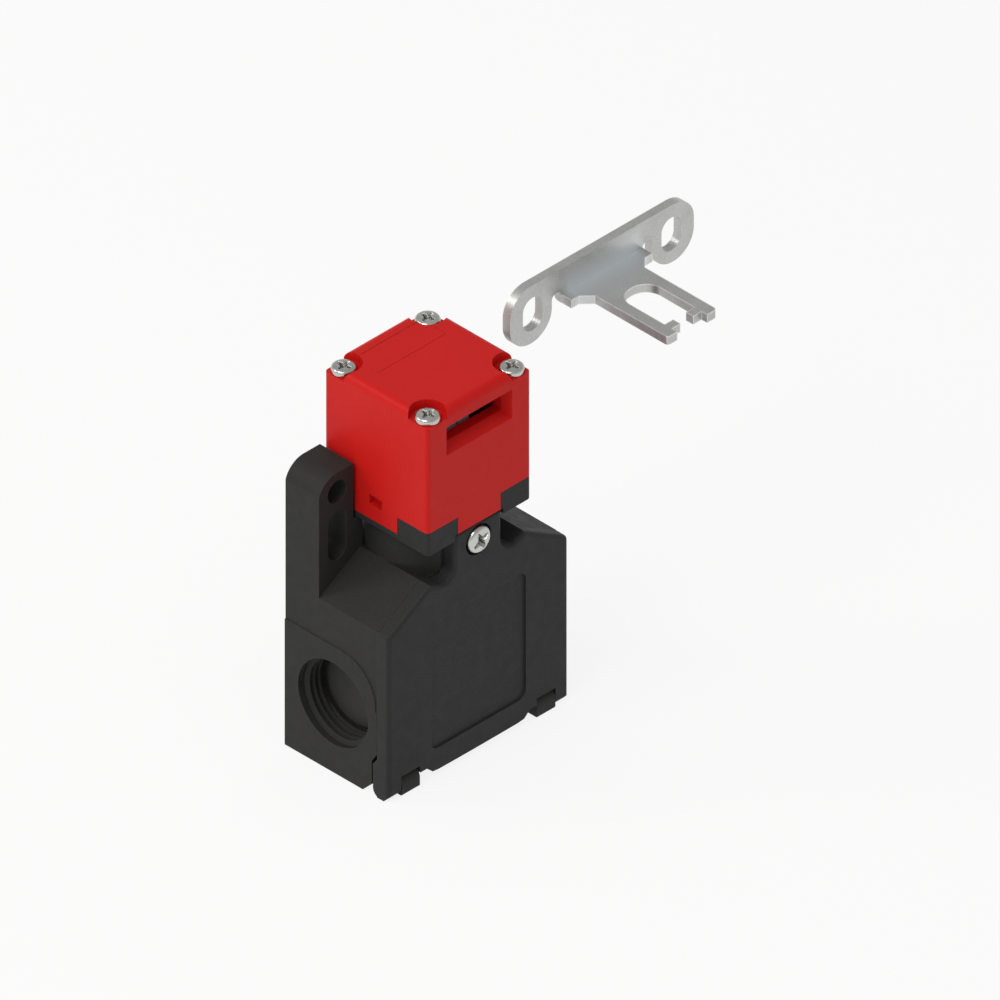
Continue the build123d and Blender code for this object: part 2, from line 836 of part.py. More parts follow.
# Drum: cam below, pockets for the hooks of the key above
with BuildPart() as drum:
    with BuildSketch(at_x(-drum_half)):
        with Locations((head_y, drum_height)):
            Circle(drum_radius)
        with BuildLine():
            ThreePointArc(
                on_drum(cam_start, drum_radius),
                on_drum(cam_middle, cam_middle_radius),
                on_drum(cam_end, cam_low_radius),
            )
            Polyline(
                on_drum(cam_end, cam_low_radius),
                on_drum(cam_stop, cam_low_radius),
                on_drum(3 * cam_stop, 2 * drum_radius),
                on_drum(cam_start, 2 * drum_radius),
                on_drum(cam_start, drum_radius),
            )
        make_face(mode=Mode.SUBTRACT)
        with Locations((head_y, drum_height)):
            Circle(drum_shaft / 2 + running_gap, mode=Mode.SUBTRACT)
    extrude(amount=2 * drum_half)
    # Groove for the steel insert, a degree wider than it at both ends
    with BuildSketch(at_x(-insert_half - running_gap)):
        with BuildLine():
            ring_sector(insert_root, insert_radius + cheek_thick, insert_start - 1, insert_sweep + 2)
        make_face()
    extrude(amount=2 * (insert_half + running_gap), mode=Mode.SUBTRACT)
    # Pockets where the hooks of the key catch
    for side in (-1, 1):
        with BuildSketch(at_x(side * (insert_half + pocket_wall))):
            with Locations(Location((*on_drum(pocket_angle, drum_radius), 0), (0, 0, 1), pocket_turn)):
                Rectangle(pocket_wide, pocket_deep)
        extrude(amount=side * pocket_span, mode=Mode.SUBTRACT)

save(drum.part, "key_drum")

# Steel insert of the drum, two plates side by side
with BuildPart() as insert:
    for side in (-1, 1):
        with BuildSketch(at_x(side * insert_slit / 2)):
            with BuildLine():
                ring_sector(insert_root + press_gap, insert_radius, insert_start, insert_sweep)
            make_face()
        extrude(amount=side * (insert_half - insert_slit / 2))

save(insert.part, "drum_insert")

# Shaft of the drum
with BuildPart() as shaft:
    with BuildSketch(at_x(-frame_cavity_half + shaft_end_gap)):
        with Locations((head_y, drum_height)):
            Circle(drum_shaft / 2)
    extrude(amount=2 * (frame_cavity_half - shaft_end_gap))

save(shaft.part, "drum_shaft")

# Plunger with its contact carrier
with BuildPart() as plunger:
    with BuildSketch(at_y(head_y)):
        with BuildLine():
            Polyline(
                (0, carrier_top - over),
                (plunger_diameter / 2, carrier_top - over),
                (plunger_diameter / 2, flange_top + collar_low),
                (plunger_tip, flange_top + collar_high),
                (plunger_tip, tip_height - plunger_tip),
            )
            RadiusArc((plunger_tip, tip_height - plunger_tip), (0, tip_height), -plunger_tip)
            Line((0, tip_height), (0, carrier_top - over))
        make_face()
    revolve(axis=Axis(origin=(0, head_y, 0), direction=(0, 0, 1)))
    with Locations((0, head_y, carrier_low)):
        Box(
            2 * carrier_half,
            carrier_depth,
            cavity_top - carrier_low - plunger_travel - carrier_gap,
            align=upright,
        )
        Cylinder(plunger_diameter / 2 - carrier_gap, carrier_top - carrier_low, align=upright)
    # Window for the bridge and its spring
    with Locations((0, head_y, bridge_height + bridge_thick)):
        Box(
            2 * carrier_half,
            bridge_depth + bridge_gap,
            bridge_thick + spring_room,
            align=hanging,
            mode=Mode.SUBTRACT,
        )

save(plunger.part, "plunger")

# Contact bridge
with BuildPart() as bridge:
    with Locations((0, head_y, bridge_height)):
        Box(2 * bridge_half, bridge_depth, bridge_thick, align=upright)
    fillet(bridge.edges().filter_by(Axis.Z), radius=bridge_round)

save(bridge.part, "contact_bridge")


def coil(name, radius, room, turns, floor):
    """Compression spring about the plunger axis, in a room of the given height above the floor."""
    rise = room - 2 * fit_gap - wire_thick
    low = floor + fit_gap + wire_thick / 2
    with BuildPart() as spring:
        with BuildLine() as path:
            Helix(pitch=rise / turns, height=rise, radius=radius, center=(0, head_y, low))
        with BuildSketch(Plane(origin=path.line @ 0, z_dir=path.line % 0)):
            Circle(wire_thick / 2)
        sweep(is_frenet=True)
    save(spring.part, name)


coil("bridge_spring", bridge_spring_radius, spring_room, 3, bridge_height - spring_room)
coil("return_spring", return_spring_radius, carrier_foot - block_floor, 4, block_low + block_floor)

# Bush and seal of the plunger in the neck
with BuildPart() as bush:
    with Locations((0, head_y, cavity_top)):
        Cylinder(bush_radius, neck_top - cavity_top - bush_drop, align=upright)
        Cylinder(plunger_diameter / 2 + running_gap, neck_top, align=upright, mode=Mode.SUBTRACT)

save(bush.part, "plunger_bush")

with BuildPart() as seal:
    with Locations((0, head_y, neck_top - bush_drop)):
        Cylinder(bush_radius - press_gap, seal_high, align=upright)
        Cylinder(plunger_diameter / 2 + running_gap, neck_top, align=upright, mode=Mode.SUBTRACT)

save(seal.part, "plunger_seal")

# Contact block: channel for the carrier, chamber for the bridge, seats for the terminals
with BuildPart() as block:
    with BuildSketch(at_y(block_y)):
        with Locations((0, (block_low + block_high) / 2)):
            RectangleRounded(2 * block_half, block_high - block_low, block_round)
    extrude(amount=-(cavity_rear - block_y))
    with Locations((0, channel_rear, block_low + block_floor)):
        Box(
            2 * (carrier_half + channel_gap),
            channel_rear - block_y,
            block_high,
            align=(Align.CENTER, Align.MAX, Align.MIN),
            mode=Mode.SUBTRACT,
        )
    with Locations((0, channel_rear, chamber_low)):
        Box(
            2 * chamber_half,
            channel_rear - block_y,
            chamber_high - chamber_low,
            align=(Align.CENTER, Align.MAX, Align.MIN),
            mode=Mode.SUBTRACT,
        )
    with BuildSketch(at_y(block_y)):
        with Locations(*terminal_places):
            Circle(terminal_shank / 2 + press_gap)
    extrude(amount=-terminal_reach, mode=Mode.SUBTRACT)
    with BuildSketch(at_y(block_y)):
        with Locations(*block_screw_places):
            Circle(block_screw_hole / 2)
    extrude(amount=-(cavity_rear - block_y), mode=Mode.SUBTRACT)

save(block.part, "contact_block")

# Fixed contacts: a terminal plate on the face of the block and an arm above or below the bridge
with BuildPart() as fixed:
    for side in (-1, 1):
        for screw_z, plate_low, plate_high in (
            (terminal_upper, bridge_height + upper_arm_lift, block_high - plate_margin),
            (terminal_lower, terminal_lower - terminal_half, lower_plate_top),
        ):
            with BuildSketch(at_y(block_y)):
                with Locations((side * terminal_x, plate_low)):
                    Rectangle(2 * terminal_half, plate_high - plate_low, align=(Align.CENTER, Align.MIN))
                with Locations((side * terminal_x, screw_z)):
                    Circle(terminal_shank / 2 + press_gap, mode=Mode.SUBTRACT)
            extrude(amount=terminal_plate)
        with Locations((side * (terminal_x - arm_span / 2 - arm_inset), face_y, bridge_height + upper_arm_lift)):
            Box(
                arm_span,
                terminal_plate + arm_depth,
                arm_thick,
                align=(Align.CENTER, Align.MIN, Align.MIN),
            )
        # The lower arm climbs beside the block screw and turns in under the bridge
        lower_arm_top = bridge_height - fit_gap
        lower_arm_outer = terminal_x - terminal_half + lower_arm_wide
        climb = lower_arm_top - lower_plate_top + over
        with Locations((side * (lower_arm_outer - lower_arm_wide / 2), face_y, lower_arm_top)):
            Box(
                lower_arm_wide,
                terminal_plate,
                climb,
                align=(Align.CENTER, Align.MIN, Align.MAX),
            )
        with Locations((side * (lower_arm_outer - lower_arm_span / 2), face_y, lower_arm_top)):
            Box(
                lower_arm_span,
                terminal_plate + arm_depth,
                arm_thick,
                align=(Align.CENTER, Align.MIN, Align.MAX),
            )

save(fixed.part, "fixed_contacts")

# Terminal screws with their clamp washers
with BuildPart() as terminals:
    with BuildSketch(at_y(face_y)):
        with Locations(*terminal_places):
            Rectangle(clamp_wide, clamp_tall)
    extrude(amount=clamp_thick)
    with BuildSketch(at_y(face_y - clamp_thick)):
        with Locations(*terminal_places):
            Circle(terminal_head / 2)
    extrude(amount=terminal_head_high)
    with BuildSketch(at_y(face_y)):
        with Locations(*terminal_places):
            Circle(terminal_shank / 2)
    extrude(amount=-terminal_reach)
    with BuildSketch(at_y(face_y - clamp_thick - terminal_head_high)):
        with Locations(*terminal_places):
            Rectangle(driver_long, driver_wide)
            Rectangle(driver_wide, driver_long)
    extrude(amount=-driver_depth, mode=Mode.SUBTRACT)

save(terminals.part, "terminal_screws")

# Two screws that hold the contact block to the back wall
with BuildPart() as block_screws:
    with BuildSketch(at_y(block_y)):
        with Locations(*block_screw_places):
            Circle(block_screw_head / 2)
    extrude(amount=block_screw_high)
    with BuildSketch(at_y(block_y)):
        with Locations(*block_screw_places):
            Circle(block_screw_shank / 2)
    extrude(amount=-(cavity_rear - block_y + pilot_depth - pilot_gap))

save(block_screws.part, "block_screws")

# Actuator key: plate with two lobes and slots, blade bent forward with a window and two hooks
with BuildPart() as key:
    with BuildSketch(at_y(plate_y)) as plate_outline:
        with Locations((key_x, key_high)):
            Rectangle(
                key_length - key_lobe,
                key_rise + key_thick / 2,
                align=(Align.CENTER, Align.MAX),
            )
            Rectangle(
                2 * blade_root_half,
                key_rise + key_thick,
                align=(Align.CENTER, Align.MAX),
            )
        for side in (-1, 1):
            with Locations((key_x + side * (key_length - key_lobe) / 2, key_mid)):
                RectangleRounded(key_lobe, key_tall, key_corner)
            with Locations((key_x + side * (blade_root_half + key_notch / 2), blade_top + key_notch_rise)):
                RectangleRounded(
                    key_notch,
                    key_tall,
                    key_notch_round,
                    align=(Align.CENTER, Align.MAX),
                    mode=Mode.SUBTRACT,
                )
        with Locations((key_x - key_hole_x, key_mid), (key_x + key_hole_x, key_mid)):
            SlotCenterToCenter(key_hole_run, key_hole, rotation=90, mode=Mode.SUBTRACT)
    extrude(amount=-key_thick)
    blade_y = front - blade_tip_reach
    root_y = front + blade_root_front
    neck_y = root_y - blade_neck_long
    window_y = front + window_rear
    right_side = [
        (window_half, window_y),
        (window_half, front + window_front),
        (hook_half, front + window_front),
        (hook_half, front + hook_front),
        (window_half, front + hook_front),
        (window_half, blade_y),
        (blade_half, blade_y),
        (blade_half, neck_y),
        (blade_half + blade_neck_wide, root_y),
        (blade_root_half, root_y),
        (blade_root_half, plate_y + key_thick),
    ]
    with BuildSketch(Plane.XY.offset(blade_top)) as blade_outline:
        with BuildLine():
            Polyline(
                *[(key_x + x, y) for x, y in right_side],
                *[(key_x - x, y) for x, y in reversed(right_side)],
                close=True,
            )
        make_face()
        window_ends = blade_outline.vertices().filter_by(
            lambda v: abs(v.Y - window_y) < 0.01 and abs(abs(v.X - key_x) - window_half) < 0.01
        )
        fillet(window_ends, radius=window_round)
        tips = blade_outline.vertices().filter_by(
            lambda v: abs(v.Y - blade_y) < 0.01 and abs(abs(v.X - key_x) - blade_half) < 0.01
        )
        fillet(tips, radius=blade_tip_round)
    extrude(amount=-key_thick)
    # Outside of the bend, under and behind the blade's root
    bend = key.edges().filter_by(Axis.X).filter_by(
        lambda e: abs(e.center().Y - plate_y - key_thick) < 0.01 and abs(e.center().Z - blade_top + key_thick) < 0.01
    )
    fillet(bend, radius=bend_round)

save(key.part, "actuator_key")
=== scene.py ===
"""Safety interlock switch with its actuator key: finish of every surface, screws, threads and studio."""
import json
from math import cos, pi, radians, sin

import bmesh
import bpy
from mathutils import Matrix, Vector


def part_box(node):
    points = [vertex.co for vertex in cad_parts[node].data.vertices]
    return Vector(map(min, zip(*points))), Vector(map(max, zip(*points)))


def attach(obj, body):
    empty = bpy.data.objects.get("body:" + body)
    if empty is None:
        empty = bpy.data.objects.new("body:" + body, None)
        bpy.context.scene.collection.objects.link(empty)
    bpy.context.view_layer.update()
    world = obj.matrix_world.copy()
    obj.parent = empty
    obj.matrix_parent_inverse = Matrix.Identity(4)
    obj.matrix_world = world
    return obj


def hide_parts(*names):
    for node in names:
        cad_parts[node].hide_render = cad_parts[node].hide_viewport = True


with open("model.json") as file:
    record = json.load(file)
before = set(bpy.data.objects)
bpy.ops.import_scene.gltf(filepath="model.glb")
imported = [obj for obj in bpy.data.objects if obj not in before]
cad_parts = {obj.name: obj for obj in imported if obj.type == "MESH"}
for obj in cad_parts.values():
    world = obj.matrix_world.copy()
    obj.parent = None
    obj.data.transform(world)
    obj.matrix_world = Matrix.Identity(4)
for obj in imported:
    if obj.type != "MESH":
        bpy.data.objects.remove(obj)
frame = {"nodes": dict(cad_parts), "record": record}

MM = 0.001
NODES = frame["nodes"]
SCENE = bpy.context.scene
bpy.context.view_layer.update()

# Camera: isometric view without perspective, 4.9 pixels to the millimetre
PIXELS = 1000
PIXELS_PER_MM = 4.9
VIEW_CENTRE = Vector((21.18, 0.0, 44.96)) * MM
VIEW_DIRECTION = Vector((1, 1, -1)).normalized()
CAMERA_AWAY = 1.0           # metres
CAMERA_REACH = 10           # metres

# Screws, in millimetres; each turn, in degrees, is how its cross stands in the photograph
HEAD_SCREW_RADIUS = 2.7
HEAD_SCREW_SEAT = 2.1       # below the top of the CAD screw
HEAD_SCREW_HIGH = 1.5
HEAD_SCREW_SHANK = 1.42     # radius
HEAD_SCREW_LONG = 29.5
HEAD_SCREW_RECESS = 3.5
HEAD_SCREW_TURN = 8
COVER_SCREW_RADIUS = 3.175
COVER_SCREW_HIGH = 2.3
COVER_SCREW_SHANK = 1.7     # radius
COVER_SCREW_LONG = 6.9
COVER_SCREW_RECESS = 4.5
COVER_SCREW_TURN = 27
SCREW_PITCH = 0.6
SCREW_EDGE = 0.06           # width of the broken edges

# Cable entries as in the CAD housing, their threads and the discs that close them, in millimetres
CONDUIT_Y = 1.0
CONDUIT_HEIGHT = 17.2
CONDUIT_FACE = 26.0
CONDUIT_RADIUS = 10.1
CONDUIT_DEPTH = 7.3
THREAD_PITCH = 1.5
THREAD_MINOR = 9.2
THREAD_START = 1.0          # behind the face
THREAD_TURNS = 4
THREAD_STEPS = 64           # per turn
THREAD_FADE = 0.4           # of a turn, at each end
THREAD_ROOTED = 0.02        # how far the ridge reaches into the wall
THREAD_RIDGE = ((-0.62, 0.0), (-0.16, 1.0), (0.16, 1.0), (0.62, 0.0))    # place, share of height
DISC_RADIUS = 8.65
DISC_STEPS = 64
DISC_BACK = -0.05

# Edges of a dressed node
MERGE_WITHIN = 0.002        # millimetres
FLAT_BELOW = 1              # degrees, faces that count as one
SMOOTH_BELOW = 20           # degrees
SHARP_ABOVE = 35            # degrees
FLAT_WEIGHT = 90            # how firmly large faces hold their shading

# Noise scales of the surfaces, in features per metre
FLOW_MARKS = 90
COLOUR_DRIFT = 120
CLOUDS = 240
SHEEN_PATCHES = 420
WORN_PATCHES = 900
TUMBLE_LINES = 2600
PITS = 3000
GRAIN = 4200
SPECKS = 5200
NOISE_SPREAD = (0.3, 0.7)   # nearly all of a noise lies between these

# Width of pale edges (worn edges and painted highlight on plastic, painted highlight on metal), and reach
# of the painted shade in recesses, in millimetres
PLASTIC_WEAR_AND_HIGHLIGHT = 0.3
METAL_HIGHLIGHT_WIDTH = 0.25
BLADE_HIGHLIGHT_WIDTH = 0.4
PAINTED_SHADE_REACH = 1.2

# Studio, in metres and watts; the sky is brighter at the horizon than overhead
SKY_STRENGTH = (0.8, 0.46)
SKY_HEIGHTS = (0.0, 0.55)
FLOOR_HALF = 3.0
FLOOR_BELOW = 0.02 * MM
FLOOR_GREY = (0.85, 0.85, 0.85, 1)
FLOOR_GLOW = 0.86           # share of the floor's own light that the camera and reflections see
LAMP_COLOUR = (1.0, 0.975, 0.94)
LAMP_AIM = (0.02, 0.0, 0.05)

# Middle of the line where the blade of the key leaves its plate
KEY_THICK = 2.1
KEY_RISE = 6.4
KEY_LOW, KEY_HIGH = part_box("actuator_key")
KEY_BEND = ((KEY_LOW[0] + KEY_HIGH[0]) / 2, KEY_HIGH[1] - KEY_THICK * MM, KEY_HIGH[2] - KEY_RISE * MM)


def link(obj):
    """Puts a new object in the scene and hands it back."""
    SCENE.collection.objects.link(obj)
    return obj


def made(name, work):
    """New object from a bmesh, which is used up."""
    mesh = bpy.data.meshes.new(name)
    work.to_mesh(mesh)
    work.free()
    return link(bpy.data.objects.new(name, mesh))


def shade(obj, sharp):
    """Smooth shading, with a hard line where faces meet at more than the sharp angle in degrees."""
    obj.data.polygons.foreach_set("use_smooth", [True] * len(obj.data.polygons))
    obj.data.set_sharp_from_angle(angle=radians(sharp))


def new_material(name):
    """Empty node material with its Principled shader."""
    material = bpy.data.materials.new(name)
    material.use_nodes = True
    tree = material.node_tree
    return material, tree, tree.nodes["Principled BSDF"]


def noise(tree, scale, detail=3.0, rough=0.55):
    """Noise over the object's own coordinates; scale is in features per metre."""
    place = tree.nodes.new("ShaderNodeTexCoord")
    node = tree.nodes.new("ShaderNodeTexNoise")
    node.inputs["Scale"].default_value = scale
    node.inputs["Detail"].default_value = detail
    node.inputs["Roughness"].default_value = rough
    tree.links.new(place.outputs["Object"], node.inputs["Vector"])
    return node.outputs["Fac"]


def remap(tree, value, old, new=(0.0, 1.0)):
    """Value mapped from its old range to a new one, kept within it."""
    node = tree.nodes.new("ShaderNodeMapRange")
    for name, number in zip(("From Min", "From Max", "To Min", "To Max"), (*old, *new)):
        node.inputs[name].default_value = number
    tree.links.new(value, node.inputs["Value"])
    return node.outputs["Result"]


def product(tree, first, second):
    """Product of two values."""
    node = tree.nodes.new("ShaderNodeMath")
    node.operation = "MULTIPLY"
    tree.links.new(first, node.inputs[0])
    tree.links.new(second, node.inputs[1])
    return node.outputs["Value"]


def own_axes(tree, space="Object"):
    """X, Y and Z as three values, by default in the object's own space."""
    place = tree.nodes.new("ShaderNodeTexCoord")
    axes = tree.nodes.new("ShaderNodeSeparateXYZ")
    tree.links.new(place.outputs[space], axes.inputs["Vector"])
    return axes.outputs


def mixed(tree, factor, colour_a, colour_b):
    """Colour between two others; either may be a socket."""
    node = tree.nodes.new("ShaderNodeMix")
    node.data_type = "RGBA"
    tree.links.new(factor, node.inputs["Factor"])
    for name, colour in (("A", colour_a), ("B", colour_b)):
        socket = next(s for s in node.inputs if s.name == name and s.type == "RGBA")
        if isinstance(colour, tuple):
            socket.default_value = (*colour, 1)
        else:
            tree.links.new(colour, socket)
    return next(s for s in node.outputs if s.type == "RGBA")


def edge_mask(tree, radius, full=0.85, patchy_low=0.25):
    """1 along edges within the radius in metres, 0 on flat faces, broken up by noise."""
    flat = 0.995
    bevel = tree.nodes.new("ShaderNodeBevel")
    bevel.samples = 4
    bevel.inputs["Radius"].default_value = radius
    geometry = tree.nodes.new("ShaderNodeNewGeometry")
    dot = tree.nodes.new("ShaderNodeVectorMath")
    dot.operation = "DOT_PRODUCT"
    tree.links.new(bevel.outputs["Normal"], dot.inputs[0])
    tree.links.new(geometry.outputs["Normal"], dot.inputs[1])
    mask = remap(tree, dot.outputs["Value"], (flat, full))
    patchy = remap(tree, noise(tree, WORN_PATCHES, 4), (0.35, 0.65), (patchy_low, 1.0))
    return product(tree, mask, patchy)


def bump(tree, shader, heights):
    """Chain of bumps from (socket, distance in metres, strength)."""
    previous = None
    for height, distance, strength in heights:
        node = tree.nodes.new("ShaderNodeBump")
        node.inputs["Distance"].default_value = distance
        node.inputs["Strength"].default_value = strength
        tree.links.new(height, node.inputs["Height"])
        if previous is not None:
            tree.links.new(previous, node.inputs["Normal"])
        previous = node.outputs["Normal"]
    tree.links.new(previous, shader.inputs["Normal"])


def plastic(name, colour, pale, rough, grain, specular=0.25, wear_and_highlight=None):
    """Moulded plastic: spark-eroded grain, flow marks, slight colour drift and edges painted pale, partly
    as worn edges and partly as a painted highlight.
    """
    material, tree, shader = new_material(name)
    drift = remap(tree, noise(tree, COLOUR_DRIFT, 4), NOISE_SPREAD, (0.0, 0.6))
    body = mixed(tree, drift, colour, pale)
    speck = remap(tree, noise(tree, SPECKS, 2), (0.35, 0.7), (0.0, 0.2))
    body = mixed(tree, speck, body, wear_and_highlight or pale)
    # Edges painted pale, partly as worn edges and partly as a painted highlight.
    worn_and_highlit = remap(tree, edge_mask(tree, PLASTIC_WEAR_AND_HIGHLIGHT * MM), (0.0, 1.0), (0.0, 0.55))
    body = mixed(tree, worn_and_highlit, body, wear_and_highlight or pale)
    tree.links.new(body, shader.inputs["Base Color"])
    sheen = remap(tree, noise(tree, SHEEN_PATCHES, 4), NOISE_SPREAD, (rough - 0.05, rough + 0.06))
    tree.links.new(sheen, shader.inputs["Roughness"])
    shader.inputs["Specular IOR Level"].default_value = specular
    bump(tree, shader, (
        (noise(tree, GRAIN, 2), 0.05 * MM, grain),
        (noise(tree, WORN_PATCHES, 3), 0.08 * MM, grain * 0.3),
        (noise(tree, FLOW_MARKS, 2), 0.2 * MM, 0.04),
    ))
    return material


def recess_shade_mask(tree, reach):
    """Mask for painted shade: 1 in the open, towards 0 in recesses narrower than the reach in metres."""
    node = tree.nodes.new("ShaderNodeAmbientOcclusion")
    node.samples = 6
    node.only_local = True
    node.inputs["Distance"].default_value = reach
    return remap(tree, node.outputs["AO"], (0.3, 0.75))


def blade_highlight_mask(tree):
    """Where the painted highlight lies on the key: edges of its blade, and the line where it leaves the
    plate.
    """
    fade = (KEY_BEND[1] - 0.2 * MM, KEY_BEND[1] - 0.1 * MM)
    ahead = remap(tree, own_axes(tree)["Y"], fade, (1.0, 0.0))
    return product(tree, edge_mask(tree, BLADE_HIGHLIGHT_WIDTH * MM, full=0.955, patchy_low=0.75), ahead)


def bend_highlight_mask(tree):
    """Mask for the painted highlight on the key: 1 along its bend, fading out over plate and blade, 0 on
    the lobes and behind.
    """
    axes = own_axes(tree)
    reach = KEY_RISE * MM
    ahead = 1.6 * reach
    full_half = 1.5 * reach
    faded_half = 1.9 * reach
    x, y, z = KEY_BEND
    up_the_plate = remap(tree, axes["Z"], (z, z + reach), (1.0, 0.0))
    along_the_blade = remap(tree, axes["Y"], (y - ahead, y))
    left = remap(tree, axes["X"], (x - faded_half, x - full_half))
    right = remap(tree, axes["X"], (x + full_half, x + faded_half), (1.0, 0.0))
    rear = remap(tree, axes["Y"], (y + 0.1 * MM, y + 0.3 * MM), (1.0, 0.0))
    middle = product(tree, product(tree, left, right), rear)
    return product(tree, product(tree, up_the_plate, along_the_blade), middle)


def metal(name, colour, tint, rough, grain, metallic=1.0, pale_grain_and_highlight=(0.9, 0.9, 0.88), painted_shade=None, bend_highlight=None):
    """Finished metal: tumbled grain, clouding, pits, a painted highlight on the edges, painted shade in
    recesses, a painted highlight along a bend.
    """
    material, tree, shader = new_material(name)
    lines = noise(tree, TUMBLE_LINES, 4)
    cloud = remap(tree, noise(tree, CLOUDS, 5), NOISE_SPREAD)
    body = mixed(tree, cloud, colour, tint)
    body = mixed(tree, remap(tree, lines, (0.4, 0.75), (0.0, 0.25)), body, pale_grain_and_highlight)
    # Painted highlight along the bend of the key.
    if bend_highlight:
        body = mixed(tree, bend_highlight_mask(tree), body, bend_highlight)
    # Painted highlight along the edges; on the key only along its blade.
    body = mixed(tree, blade_highlight_mask(tree) if bend_highlight else edge_mask(tree, METAL_HIGHLIGHT_WIDTH * MM), body, pale_grain_and_highlight)
    # Painted shade in narrow recesses.
    if painted_shade:
        body = mixed(tree, recess_shade_mask(tree, PAINTED_SHADE_REACH * MM), painted_shade, body)
    tree.links.new(body, shader.inputs["Base Color"])
    shader.inputs["Metallic"].default_value = metallic
    sheen = remap(tree, lines, NOISE_SPREAD, (rough - 0.08, rough + 0.1))
    tree.links.new(sheen, shader.inputs["Roughness"])
    pits = remap(tree, noise(tree, PITS, 2), (0.6, 0.75))
    bump(tree, shader, (
        (lines, 0.02 * MM, grain),
        (pits, 0.03 * MM, 0.25),
    ))
    return material


# Plastic edges are painted pale, partly as worn edges and partly as a painted highlight; metal edges
# carry a painted highlight.
MATERIALS = {
    "housing_black": plastic(
        "housing_black", (0.0215, 0.0213, 0.0205), (0.0255, 0.0252, 0.0245),
        rough=0.58, grain=0.5, specular=0.16, wear_and_highlight=(0.078, 0.077, 0.073),
    ),
    "cover_black": plastic(
        "cover_black", (0.0205, 0.0205, 0.0205), (0.0240, 0.0240, 0.0240),
        rough=0.55, grain=0.45, specular=0.16, wear_and_highlight=(0.085, 0.085, 0.085),
    ),
    # Painted light: lighter than the housing's black, so that the disc looks lit in the shade inside the
    # cable entry.
    "disc_black_lit": plastic(
        "disc_black_lit", (0.038, 0.0375, 0.036), (0.043, 0.0425, 0.041),
        rough=0.55, grain=0.5, wear_and_highlight=(0.07, 0.069, 0.065),
    ),
    "head_red": plastic(
        "head_red", (0.570, 0.0085, 0.0070), (0.595, 0.0105, 0.0085),
        rough=0.42, grain=0.25, specular=0.13, wear_and_highlight=(0.72, 0.03, 0.024),
    ),
    # Painted shade darkens this steel in its recesses, and a painted highlight lightens its edges.
    "steel_bright": metal(
        "steel_bright", (0.60, 0.60, 0.57), (0.50, 0.50, 0.475),
        rough=0.26, grain=0.2, pale_grain_and_highlight=(0.92, 0.92, 0.90), painted_shade=(0.05, 0.05, 0.047),
    ),
    # Painted highlights lie on this steel's blade edges and along its bend.
    "steel_key": metal(
        "steel_key", (0.515, 0.525, 0.515), (0.455, 0.46, 0.445),
        rough=0.4, grain=0.35, metallic=0.8, pale_grain_and_highlight=(1.0, 0.99, 0.97), bend_highlight=(0.76, 0.80, 0.815),
    ),
    # Painted light: paler than the other steel, so that the insert looks lit in the shade of the slot.
    "steel_dark": metal(
        "steel_dark", (0.62, 0.67, 0.70), (0.52, 0.56, 0.59),
        rough=0.4, grain=0.3, metallic=0.5,
    ),
    "brass_contact": metal(
        "brass_contact", (0.72, 0.52, 0.22), (0.6, 0.42, 0.18),
        rough=0.3, grain=0.25, pale_grain_and_highlight=(0.9, 0.75, 0.45),
    ),
    "block_cream": plastic(
        "block_cream", (0.50, 0.45, 0.34), (0.56, 0.51, 0.40),
        rough=0.5, grain=0.4, wear_and_highlight=(0.66, 0.62, 0.52),
    ),
    "mechanism_black": plastic(
        "mechanism_black", (0.012, 0.012, 0.012), (0.018, 0.018, 0.018),
        rough=0.35, grain=0.2, wear_and_highlight=(0.05, 0.05, 0.05),
    ),
    "seal_rubber": plastic(
        "seal_rubber", (0.022, 0.022, 0.022), (0.03, 0.03, 0.03),
        rough=0.75, grain=0.6, wear_and_highlight=(0.05, 0.05, 0.05),
    ),
}


def finish_cad_nodes():
    """Gives every CAD node the material of its slot."""
    for part in frame["record"]["subparts"]:
        node = NODES[part["node"]]
        material = MATERIALS[part["material_slot"]]
        if not node.material_slots:
            node.data.materials.append(material)
        for place in node.material_slots:
            place.material = material


def settle(obj):
    """Applies an object's modifiers, shaded so that flat faces stay flat up to their rounded edges."""
    obj.data.polygons.foreach_set("use_smooth", [True] * len(obj.data.polygons))
    shading = obj.modifiers.new("shading", "WEIGHTED_NORMAL")
    shading.weight = FLAT_WEIGHT
    shading.keep_sharp = True
    graph = bpy.context.evaluated_depsgraph_get()
    mesh = bpy.data.meshes.new_from_object(obj.evaluated_get(graph), depsgraph=graph)
    obj.modifiers.clear()
    obj.data = mesh
    return obj


def paint(obj, slot, finish=None):
    """One material on the whole object, its slot's own or a lightened copy of it that paints in light."""
    obj.data.materials.clear()
    obj.data.materials.append(MATERIALS[finish or slot])


def dressed(node, body, slot, width):
    """Copy of a CAD node that stands for it, with its hard edges broken by the width in millimetres."""
    mesh = NODES[node].data.copy()
    work = bmesh.new()
    work.from_mesh(mesh)
    bmesh.ops.remove_doubles(work, verts=work.verts, dist=MERGE_WITHIN * MM)
    bmesh.ops.dissolve_limit(work, angle_limit=radians(FLAT_BELOW), verts=work.verts, edges=work.edges)
    for edge in work.edges:
        edge.smooth = not radians(SMOOTH_BELOW) < edge.calc_face_angle(0) < radians(SHARP_ABOVE)
    work.to_mesh(mesh)
    work.free()
    piece = link(bpy.data.objects.new(f"{node}_finished", mesh))
    piece.matrix_world = NODES[node].matrix_world.copy()
    rounding = piece.modifiers.new("round", "BEVEL")
    rounding.width = width * MM
    rounding.segments = 2
    rounding.limit_method = "ANGLE"
    rounding.angle_limit = radians(SHARP_ABOVE)
    rounding.use_clamp_overlap = True
    settle(piece)
    paint(piece, slot)
    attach(piece, body)
    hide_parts(node)


